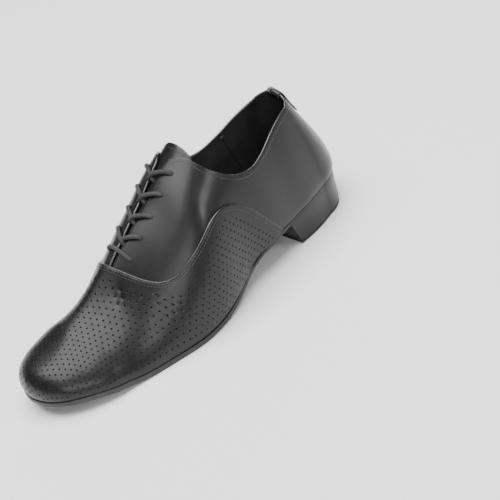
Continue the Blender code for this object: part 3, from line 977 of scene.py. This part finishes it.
def make_panel():
    """Perforated front panel: a flat pattern of holes, triangulated and laid over the last."""
    seam, foot = panel_boundary()
    seam_flat = [pattern_at(*item) for item in seam]
    foot_flat = [pattern_at(*item) for item in foot]
    seam_line = np.array([tuple(p) for p in seam_flat])
    foot_line = np.array([tuple(p) for p in foot_flat])
    holes, fill = [], []
    low_x, high_x = anchor(SEAM["t"][0])[0], TOE_CENTRE + PATTERN_HALF
    rows = int(PATTERN_REACH / HOLE_ROWS) + 1
    for half_row in range(-2 * rows, 2 * rows + 1):
        for half_step in range(int((high_x - low_x) / HOLE_PITCH * 2) + 2):
            place = Vector((low_x + half_step * HOLE_PITCH / 2, half_row * HOLE_ROWS / 2))
            if place.x > TOE_CENTRE and (place - Vector((TOE_CENTRE, 0))).length > PATTERN_HALF:
                continue
            t, side, w = last_at(place)
            if abs(place.y) < 1e-6:
                w = max(w, 0.0)
            if not in_panel(t, side, w) or w <= 0 and t < SEAM["t"][-1]:
                continue
            to_seam, to_foot = clear_of(place, seam_line), clear_of(place, foot_line)
            row = half_row // 2
            is_hole = half_row % 2 == 0 and (half_step + row) % 2 == 0
            if is_hole and to_seam > SEAM_MARGIN and to_foot > FOOT_MARGIN:
                holes.append(place)
            elif min(to_seam, to_foot) > FILL_MARGIN:
                fill.append(place)
    verts = seam_flat + foot_flat
    count = len(verts)
    edges = [(i, (i + 1) % count) for i in range(count)]
    owners = [-1] * count
    rim = HOLE_RADIUS + HOLE_RIM
    for number, place in enumerate(holes):
        start = len(verts)
        for k in range(HOLE_SIDES):
            angle = 2 * math.pi * k / HOLE_SIDES
            verts.append(place + Vector((math.cos(angle), math.sin(angle))) * rim)
            owners.append(number)
        edges += [(start + k, start + (k + 1) % HOLE_SIDES) for k in range(HOLE_SIDES)]
    verts += fill
    owners += [-1] * len(fill)
    points, _, faces, origins = delaunay_2d_cdt(verts, edges, [], 0, 1e-7)[:4]
    shape = Shape()
    places = [last_at(point) for point in points]
    index = shape.add([skin(t, side, w, PANEL_OUT) for t, side, w in places])
    owner_of = [owners[source[0]] if source else -1 for source in origins]
    for face in faces:
        holders = {owner_of[i] for i in face}
        if len(holders) == 1 and holders != {-1}:
            continue
        middle = sum((Vector(points[i]) for i in face), Vector((0, 0))) / 3
        if in_panel(*last_at(middle)):
            shape.face([index[i] for i in face])
    for place in holes:
        add_hole(shape, place, rim)
    add_seam_roll(shape, seam)
    add_foot_tuck(shape, foot)
    panel = shape.piece("vamp_leather", [PANEL, EDGE, HOLE], "leather", ["vamp"], (1, 0, 0), 0.00002, 26)
    return tree_of(panel), seam


def add_hole(shape, place, rim):
    """Sunk rim and wall of one hole."""
    t, side, w = last_at(place)
    angles = [2 * math.pi * k / HOLE_SIDES for k in range(HOLE_SIDES)]
    around = [last_at(place + Vector((math.cos(a), math.sin(a))) * rim) for a in angles]
    outer = [skin(*spot, PANEL_OUT) for spot in around]
    normal = last_normal(t, side, w)
    middle = sum(outer, Vector()) / HOLE_SIDES
    ratio = HOLE_RADIUS / rim
    lip = [middle + (point - middle) * ratio - normal * HOLE_DENT for point in outer]
    low = [point - normal * VAMP_WALL for point in lip]
    shape.grid([outer, lip], 0, closed=True)
    bottom = shape.grid([lip, low], 2, closed=True)[-1]
    shape.face(bottom, 2)


def add_seam_roll(shape, seam):
    """Folded edge of the panel along its seam."""
    points = [skin(*item, PANEL_OUT) for item in seam]
    radius = PANEL_OUT / 2 - 0.00005
    rows = []
    for (t, side, w), point, along in zip(seam, points, tangents(points)):
        normal = last_normal(t, side, w)
        away = along.cross(normal).normalized()
        middle = point - normal * radius
        rows.append([middle + normal * math.cos(a) * radius + away * math.sin(a) * radius * 0.75
                     for a in shares(8, 0.0, math.pi)])
    shape.grid(rows, 1)


def add_foot_tuck(shape, foot):
    """The panel's foot turns in to the sole."""
    rows = []
    for t, side, w in foot:
        top = skin(t, side, w, PANEL_OUT)
        low = skin(t, side, 1.0, 0.0)
        normal = last_normal(t, side, w)
        z = bed(low.x) - GAP
        rows.append([
            top,
            Vector((low.x, low.y, z + 0.0006)) + normal * (PANEL_OUT * 0.80),
            Vector((low.x, low.y, z)) + normal * (PANEL_OUT * 0.30),
        ])
    shape.grid(rows, 0)


def seam_line(seam, below):
    """Line along the panel, a distance inside its seam."""
    points = [skin(*item, PANEL_OUT) for item in seam]
    found = []
    for (t, side, w), point, along in zip(seam, points, tangents(points)):
        away = along.cross(last_normal(t, side, w)).normalized()
        found.append(point - away * below)
    return found


# Tongue, strip, soles and heel


def make_tongue():
    shape = Shape()
    outer, inner = [], []
    low_out = -(UPPER_WALL + CURVED_GAP)
    for s in shares(70):
        x = TONGUE_TOP + (TONGUE_END - TONGUE_TOP) * s
        narrow = TONGUE_ROUND * (1 - ramp(0.0, 0.1, s)) + TONGUE_NARROWS * ramp(0.3, 1.0, s)
        half = TONGUE_HALF * (1 - narrow)
        spots = shares(48, -1.0, 1.0)
        outer.append([over(x, half * u, low_out) for u in spots])
        inner.append([over(x, half * u, low_out - TONGUE_WALL) for u in spots])
    shape.grid(outer, 0)
    shape.grid(inner, 1)
    ring_out, ring_in = border(outer), border(inner)
    rows = []
    closed = [ring_out[-1]] + ring_out + [ring_out[0]]
    for i, (a, b) in enumerate(zip(ring_out, ring_in)):
        centre = (a + b) / 2
        normal = (a - b).normalized()
        along = (closed[i + 2] - closed[i]).normalized()
        away = normal.cross(along).normalized()
        half = (a - b).length / 2
        rows.append([centre + normal * math.cos(k) * half + away * math.sin(k) * half * 0.9
                     for k in shares(6, 0.0, math.pi)])
    shape.grid(rows + [rows[0]], 2)
    tongue = shape.piece("tongue_leather", [LEATHER, LINING, EDGE], "leather", ["tongue"], (0, 0, 1))
    return tree_of(tongue), outer


def strip_point(u, down):
    side = LATERAL if u >= 0 else MEDIAL
    half = abs(u) * STRIP_WIDTH / 2 * (1 - STRIP_NARROWS * ramp(0.1, 1.0, down / STRIP_LENGTH))
    middle = last(0.0, side, w_at_height(0.0, side, COLLAR_DEPTH - down))
    low, high = 0.0, 1.0
    for _ in range(20):
        t = (low + high) / 2
        height = through(COLLAR["t"], COLLAR[side_name(side)], t) * COLLAR_DEPTH - down
        w = w_at_height(t, side, height)
        if (last(t, side, w) - middle).length < half:
            low = t
        else:
            high = t
    return t, side, w


def make_strip():
    """Back strip with rounded sides, folded over the collar's edge."""
    across = shares(16, -1.0, 1.0)
    grid_rows = [[strip_point(u, down) for u in across] for down in shares(18, STRIP_LENGTH, 0.0)]
    turned = [[strip_point(u, down) for u in across] for down in shares(4, 0.0, STRIP_TURN)]
    shape = Shape()
    faces = {}
    for level, out in (("outer", STRIP_WALL), ("inner", 0.0)):
        rows = [[skin(*spot, CURVED_GAP + out) for spot in row] for row in grid_rows]
        for turn in shares(8, 0.0, math.pi)[1:-1]:
            row = []
            for t, side, w in grid_rows[-1]:
                point, outward, up = edge_frame(t, side, w)
                middle = point - outward * (UPPER_WALL / 2)
                radius = UPPER_WALL / 2 + CURVED_GAP + out
                row.append(middle + (outward * math.cos(turn) + up * math.sin(turn)) * radius)
            rows.append(row)
        rows += [[skin(*spot, -(UPPER_WALL + CURVED_GAP + out)) for spot in row] for row in turned]
        faces[level] = rows
        shape.grid(rows, 0)
    outer, inner = faces["outer"], faces["inner"]
    ring_out, ring_in = border(outer), border(inner)
    shape.grid([ring_out + ring_out[:1], ring_in + ring_in[:1]], 0)
    strip = shape.piece("back_strip_leather", [LEATHER], "leather", ["back_strip"], (-1, 0, 0))
    threads = Shape()
    tree = tree_of(strip)
    for column in (2, 14):
        stitch_line(threads, [row[column] for row in outer[1:18]], tree)
    fold = outer[20]
    stitch_line(threads, [fold[4], fold[12]], tree, 0.0048, 0.0022, 0.0007)
    threads.piece("back_strip_stitches", [THREAD], "cord")


def sole_edge(t):
    return WAIST_EDGE + (SOLE_EDGE - WAIST_EDGE) * ramp(rib_at(WAIST_FRONT), rib_at(BALL_BACK), t)


def sole_wall(x):
    return WAIST_WALL + (SOLE_WALL - WAIST_WALL) * ramp(WAIST_FRONT, BALL_BACK, x)


# Sole's edge from top to bottom: inset from the outline and share of the thickness
SOLE_SECTION = table(
    "inset down",
    (0.00060, 0.00),
    (0.00022, 0.06),
    (0.00000, 0.22),
    (0.00010, 0.40),
    (0.00000, 0.62),
    (0.00006, 0.86),
    (0.00030, 0.96),
    (0.00070, 1.00),
)


def make_outsole():
    shape = Shape()
    ts = shares(90, rib_at(BREAST_TOP + GAP), 2.0)[:-1] + shares(50, 2.0, 3.0)
    top, foot = [], []
    for t in ts:
        out = sole_edge(t)
        first, final = SOLE_SECTION["inset"][0], SOLE_SECTION["inset"][-1]
        ends = [outline(t, side, out - first) for side in (LATERAL, MEDIAL)]
        top.append(level_row(*ends, 12, lambda x: bed(x) - GAP))
        ends = [outline(t, side, out - final) for side in (LATERAL, MEDIAL)]
        foot.append(level_row(*ends, 12, lambda x: bed(x) - GAP - sole_wall(x)))
    shape.grid(top, 1)
    shape.grid(foot, 0)
    breast = []
    for side in (LATERAL, MEDIAL):
        rows = []
        for t in ts:
            row = []
            for inset, down in zip(SOLE_SECTION["inset"], SOLE_SECTION["down"]):
                x, y = outline(t, side, sole_edge(t) - inset)
                row.append(Vector((x, y, bed(x) - GAP - sole_wall(x) * down)))
            rows.append(row)
        shape.grid(rows, 1)
        breast.append(rows[0])
    shape.grid([[a.lerp(b, s) for s in shares(12)] for a, b in zip(*breast)], 1)
    shape.piece("outsole_suede", [SUEDE, TRIM], "suede", ["outsole"], (0, 0, -1), 0.00002, 40)


def heel_ring(inset):
    """Closed outline of the heel seat: round the back, then straight across the breast."""
    breast = rib_at(BREAST_TOP)
    lateral = [outline(t, LATERAL, inset) for t in shares(14, breast, 1.0)[:-1] + shares(40, 1.0, 0.0)]
    medial = [outline(t, MEDIAL, inset) for t in shares(40, 0.0, 1.0)[1:] + shares(14, 1.0, breast)[1:]]
    ring = [Vector((x, y, 0)) for x, y in lateral + medial]
    return ring + [ring[-1].lerp(ring[0], s) for s in shares(16)[1:-1]]


def heel_foot(point, height):
    centre_y = anchor(0.0)[1]
    front = (BREAST_FOOT - HEEL_CENTRE) / (BREAST_TOP - HEEL_CENTRE)
    along = front if point.x > HEEL_CENTRE else 1 - HEEL_TAPER / HEEL_CENTRE
    across = 1 - HEEL_TAPER / (HEEL_WIDTH / 2)
    x = HEEL_CENTRE + (point.x - HEEL_CENTRE) * along
    return Vector((x, centre_y + (point.y - centre_y) * across, height))


def close_with(shape, ring, look):
    """Flat cap of rings that shrink to the middle of one."""
    middle = sum(ring, Vector()) / len(ring)
    rows = [[point.lerp(middle, s) for point in ring] for s in shares(6)]
    shape.grid(rows, look, closed=True)


# Heel cover and tip from top to bottom: inset and share of the height
HEEL_SECTION = table(
    "inset down",
    (0.00050, 0.000),
    (0.00012, 0.010),
    (0.00000, 0.030),
    (0.00020, 0.300),
    (0.00030, 0.600),
    (0.00015, 0.900),
    (0.00000, 0.970),
    (0.00025, 0.990),
    (0.00070, 1.000),
)
TIP_SECTION = table(
    "inset down",
    (0.0004, 0.00),
    (0.0001, 0.06),
    (0.0000, 0.20),
    (0.0000, 0.80),
    (0.0001, 0.94),
    (0.0005, 1.00),
)


def heel_layer(name, look, slot, node, section, inset, top, foot):
    """A layer of the heel, from its top surface down to its foot."""
    rings = []
    for own, down in zip(section["inset"], section["down"]):
        seat = heel_ring(-inset - own)
        rings.append([top(point).lerp(foot(point), down) for point in seat])
    shape = Shape()
    shape.grid(rings, 0, closed=True)
    close_with(shape, rings[0], 0)
    close_with(shape, rings[-1], 0)
    shape.piece(name, [look], slot, [node], (0, 0, -1), 0.00002, 45)


def heel_top(point):
    return Vector((point.x, point.y, bed(point.x) - GAP))


def make_heel():
    """Covered heel block, and the rubber tip under it."""
    low, high = (functools.partial(heel_foot, height=height) for height in (TIP_WALL, TIP_WALL + GAP))
    floor = functools.partial(heel_foot, height=0.0)
    heel_layer("heel_cover", COVER, "leather", "heel_block", HEEL_SECTION, 0.0, heel_top, high)
    heel_layer("heel_rubber", RUBBER, "rubber", "heel_tip", TIP_SECTION, TIP_INSET, low, floor)


# Laces: the braid's strands and how the cord is made round

BRAID_SIDES = 28
BRAID_STEP = 0.00022
BRAID_TURN = 2 * math.pi / 0.0052
BRAID_STRANDS = 4
BRAID_DEPTH = 0.00016


def add_lace(shape, line):
    """Round braided cord along a line, its strands standing out as diamonds."""
    places = even(line, BRAID_STEP)
    along = tangents(places)
    up = Vector((0, 0, 1))
    rings = []
    for i, (place, ahead) in enumerate(zip(places, along)):
        up = (up - ahead * up.dot(ahead)).normalized()
        across = ahead.cross(up)
        run = i * BRAID_STEP
        ring = []
        for k in range(BRAID_SIDES):
            angle = 2 * math.pi * k / BRAID_SIDES
            left = abs(math.sin(BRAID_STRANDS * angle / 2 + BRAID_TURN * run / 2))
            right = abs(math.sin(BRAID_STRANDS * angle / 2 - BRAID_TURN * run / 2))
            height = max(left, right) ** 0.6 + 0.35 * (left > right)
            radius = LACE_THICK / 2 - BRAID_DEPTH + BRAID_DEPTH * height
            ring.append(place + (across * math.cos(angle) + up * math.sin(angle)) * radius)
        rings.append(ring)
    shape.tube(rings)


# How the laces lie over the facings: share of the way to the throat's middle, height of the
# cord's axis over the leather, and how far it has run forward
ARM = table(
    "way out forward",
    (0.00, -0.0024, 0.0000),
    (0.00, -0.0006, 0.0000),
    (0.08, 0.0011, 0.0003),
    (0.35, 0.0020, 0.0019),
    (0.65, 0.0019, 0.0040),
    (0.88, 0.0016, 0.0060),
    (1.06, 0.0004, 0.0078),
    (1.25, -0.0018, 0.0092),
    (1.42, -0.0034, 0.0101),
)
CROSS_LIFT = 0.0012
# The same for the bar, from one hole to the other
BAR = table(
    "way out",
    (0.00, -0.0024),
    (0.00, -0.0006),
    (0.05, 0.0011),
    (0.20, 0.0019),
    (0.38, 0.0021),
    (0.50, 0.0021),
    (0.62, 0.0021),
    (0.80, 0.0019),
    (0.95, 0.0011),
    (1.00, -0.0006),
    (1.00, -0.0024),
)


def lace_arm(row, side, lifted):
    start = eyelet_across(row, side)
    middle = (eyelet_across(row, side) + eyelet_across(row, -side)) / 2
    points = []
    for way, out, forward in zip(ARM["way"], ARM["out"], ARM["forward"]):
        lift = CROSS_LIFT * lifted * ramp(0.3, 0.9, way) * (1 - ramp(1.1, 1.4, way))
        points.append(over(eyelet_x(row) + forward, start + (middle - start) * way, out + lift))
    return smooth_line(points, 8)


def make_laces():
    shape = Shape()
    ends = eyelet_across(0, MEDIAL), eyelet_across(0, LATERAL)
    bar = [over(EYELET_LOW, ends[0] + (ends[1] - ends[0]) * way, out)
           for way, out in zip(BAR["way"], BAR["out"])]
    add_lace(shape, smooth_line(bar, 8))
    shape.piece("lace_bar_braid", [CORD], "cord", ["lace_bar"], None, 0.000001, 60)
    for row in range(1, EYELET_ROWS):
        shape = Shape()
        near_over = row > 1
        add_lace(shape, lace_arm(row, LATERAL, near_over))
        add_lace(shape, lace_arm(row, MEDIAL, not near_over))
        shape.piece(f"lace_braid_{row + 1}", [CORD], "cord", [f"lace_cross_{row + 1}"], None, 0.000001, 60)


# Stage, lights and camera

# The camera comes from the same fit as RIBS
CAMERA_PLACE = (0.67125, 1.06895, 0.72311)
CAMERA_AIM = (0.10505, 0.03010, 0.02360)
CAMERA_ROLL = 22.197
CAMERA_LENS = 143.18
FLOOR_HALF = 6.0
WORLD_LIGHT = 0.05
# Name, azimuth, elevation, distance, width, height and power
SOFT_BOXES = (
    ("top", 0, 88, 2.2, 2.6, 2.6, 150.0),
    ("near_side", 58, 24, 2.4, 1.5, 0.8, 22.0),
    ("heel_side", 116, 24, 2.4, 0.5, 0.5, 13.0),
    ("far_side", -128, 12, 2.4, 1.8, 0.6, 17.0),
)


def make_camera():
    """The photo's view: from the front on the little-toe side, rolled so that the toe hangs."""
    data = bpy.data.cameras.new("camera")
    data.lens = CAMERA_LENS
    data.sensor_width = 36.0
    made = bpy.data.objects.new("camera", data)
    bpy.context.scene.collection.objects.link(made)
    place, aim = Vector(CAMERA_PLACE) + SHIFT, Vector(CAMERA_AIM) + SHIFT
    level = (aim - place).to_track_quat("-Z", "Y").to_matrix().to_4x4()
    roll = Matrix.Rotation(math.radians(-CAMERA_ROLL), 4, "Z")
    made.matrix_world = Matrix.Translation(place) @ level @ roll
    bpy.context.scene.camera = made


def light_from(name, azimuth, elevation, distance, wide, tall, power):
    """Soft box that faces the shoe from a direction; azimuth 0 is the toe's, 90 the little toe's side."""
    turn, lift = math.radians(azimuth), math.radians(elevation)
    middle = Vector((0.0, 0.0, 0.05))
    out = Vector((math.cos(turn) * math.cos(lift), math.sin(turn) * math.cos(lift), math.sin(lift)))
    data = bpy.data.lights.new(name, "AREA")
    data.shape = "RECTANGLE"
    data.size = wide
    data.size_y = tall
    data.energy = power
    made = bpy.data.objects.new(name, data)
    made.location = middle + out * distance
    made.rotation_euler = (middle - made.location).to_track_quat("-Z", "Y").to_euler()
    bpy.context.scene.collection.objects.link(made)


def make_stage():
    mesh = bpy.data.meshes.new("floor")
    corners = [(-1, -1), (1, -1), (1, 1), (-1, 1)]
    mesh.from_pydata([(x * FLOOR_HALF, y * FLOOR_HALF, 0) for x, y in corners], [], [(0, 1, 2, 3)])
    floor = bpy.data.objects.new("floor", mesh)
    bpy.context.scene.collection.objects.link(floor)
    look = bpy.data.materials.new("floor")
    look.use_nodes = True
    shader = look.node_tree.nodes["Principled BSDF"]
    shader.inputs["Base Color"].default_value = (0.95, 0.95, 0.95, 1.0)
    shader.inputs["Roughness"].default_value = 0.9
    mesh.materials.append(look)
    world = bpy.data.worlds.new("studio")
    world.use_nodes = True
    world.node_tree.nodes["Background"].inputs["Color"].default_value = (1.0, 1.0, 1.0, 1.0)
    world.node_tree.nodes["Background"].inputs["Strength"].default_value = WORLD_LIGHT
    bpy.context.scene.world = world
    for box in SOFT_BOXES:
        light_from(*box)


# The whole shoe

make_camera()
upper_tree = make_upper()
panel_tree, seam = make_panel()
tongue_tree, tongue_rows = make_tongue()
make_lining_seam()
make_strip()
make_outsole()
make_heel()
make_laces()

threads = Shape()
for side in (LATERAL, MEDIAL):
    stitch_line(threads, edge_line(side, TOP_STITCHES), upper_tree)
threads.piece("top_edge_stitches", [THREAD], "cord")
threads = Shape()
for below in SEAM_STITCHES:
    stitch_line(threads, seam_line(seam, below), panel_tree)
threads.piece("seam_stitches", [THREAD], "cord")
threads = Shape()
stitch_line(threads, tongue_rows[2][2:-2], tongue_tree)
threads.piece("tongue_stitches", [THREAD], "cord")

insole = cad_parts["insole"]
insole.data.materials.clear()
insole.data.materials.append(LINING)

make_stage()
